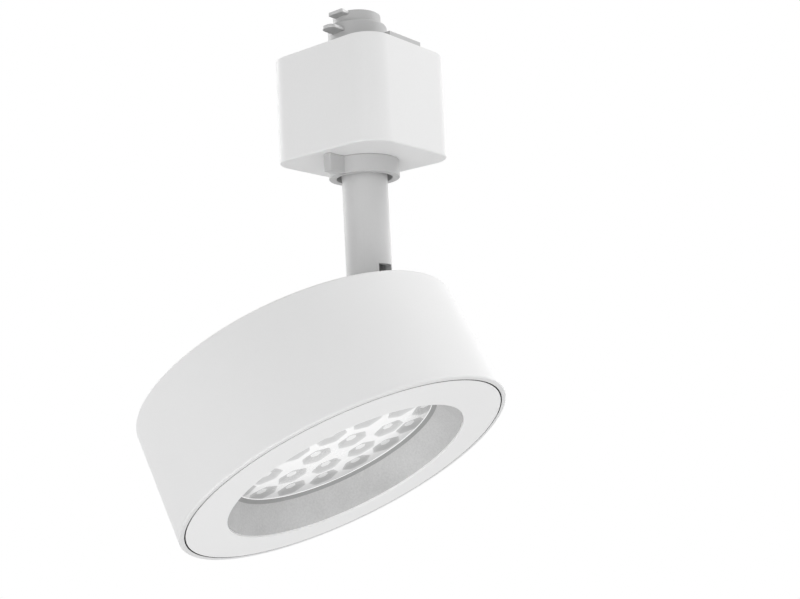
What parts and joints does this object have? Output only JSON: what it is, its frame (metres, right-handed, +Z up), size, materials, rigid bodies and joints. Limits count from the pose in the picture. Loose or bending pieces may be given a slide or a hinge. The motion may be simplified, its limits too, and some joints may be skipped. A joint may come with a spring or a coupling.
{
  "type": "track spotlight",
  "caption": "Ceiling track spotlight with a twist-lock box adapter, a panning stem and a shallow drum head that tilts, with a recessed multi-cell lens.",
  "frame": {"origin": "on the stem's axis, level with the flat top of the adapter housing, where it meets the track", "axes": "+Z up out of the adapter into the track, X along the track, the head faces -Y and down at rest"},
  "size_m": [0.098, 0.1016, 0.1516],
  "materials": {
    "white_plastic": "fine satin moulded white",
    "grey_plastic": "moulded light grey",
    "grey_paint": "satin light grey powder coat",
    "contact_metal": "tinned contact strip",
    "white_paint": "fine satin white powder coat",
    "baffle_finish": "fine sand textured light grey",
    "ring_plastic": "matt grey",
    "holder_plastic": "matt white",
    "clear_acrylic": "clear moulded acrylic",
    "lamp_board": "white solder mask",
    "bare_aluminium": "bare cast aluminium",
    "steel": "zinc plated steel",
    "circuit_board": "green solder mask",
    "black_plastic": "matt black",
    "terminal_plastic": "matt off-white nylon",
    "cable_sheath": "smooth light grey sheath"
  },
  "bodies": {
    "adapter": {"adapter_housing": "white_plastic", "adapter_lid": "grey_plastic", "lid_screw_1": "steel", "lid_screw_2": "steel", "stem_bridge": "grey_plastic", "bridge_screw_1": "steel", "bridge_screw_2": "steel"},
    "lock": {"lock_collar": "grey_plastic", "lock_yoke": "grey_plastic", "lock_turret": "grey_plastic", "live_contact": "contact_metal", "neutral_contact": "contact_metal"},
    "stem": {"stem_tube": "grey_paint", "thrust_washer": "steel", "spring_washer": "steel", "stem_clip": "steel", "cable_bush": "terminal_plastic", "stem_cable": "cable_sheath", "pivot_screw": "steel", "pivot_nut": "steel", "brake_washer_1": "steel", "brake_washer_2": "steel"},
    "head": {"head_shell": "white_paint", "front_bezel": "white_paint", "baffle_cone": "baffle_finish", "lens_ring": "ring_plastic", "lens_holder": "holder_plastic", "lens_array": "clear_acrylic", "lamp_board": "lamp_board", "heat_sink": "bare_aluminium", "back_cover": "white_paint", "tilt_lug": "steel", "lug_screw_1": "steel", "lug_screw_2": "steel", "cover_screw_1": "steel", "cover_screw_2": "steel", "cover_screw_3": "steel", "board_screw_1": "steel", "board_screw_2": "steel", "board_screw_3": "steel", "head_cable": "cable_sheath", "terminal_block": "terminal_plastic", "driver_board": "circuit_board", "driver_choke": "black_plastic", "driver_chip": "black_plastic", "driver_capacitor": "black_plastic"}
  },
  "joints": [
    {"name": "lock_turn", "type": "hinge", "parent": "adapter", "child": "lock", "pos_m": [0, 0, 0], "axis": [0, 0, 1], "range_deg": [0, 90]},
    {"name": "head_pan", "type": "hinge", "parent": "adapter", "child": "stem", "pos_m": [0, 0, 0], "axis": [0, 0, 1], "range_deg": [-165, 165]},
    {"name": "head_tilt", "type": "hinge", "parent": "stem", "child": "head", "pos_m": [0, 0, -0.0679], "axis": [-1, 0, 0], "range_deg": [-29.4, 40.6]}
  ]
}
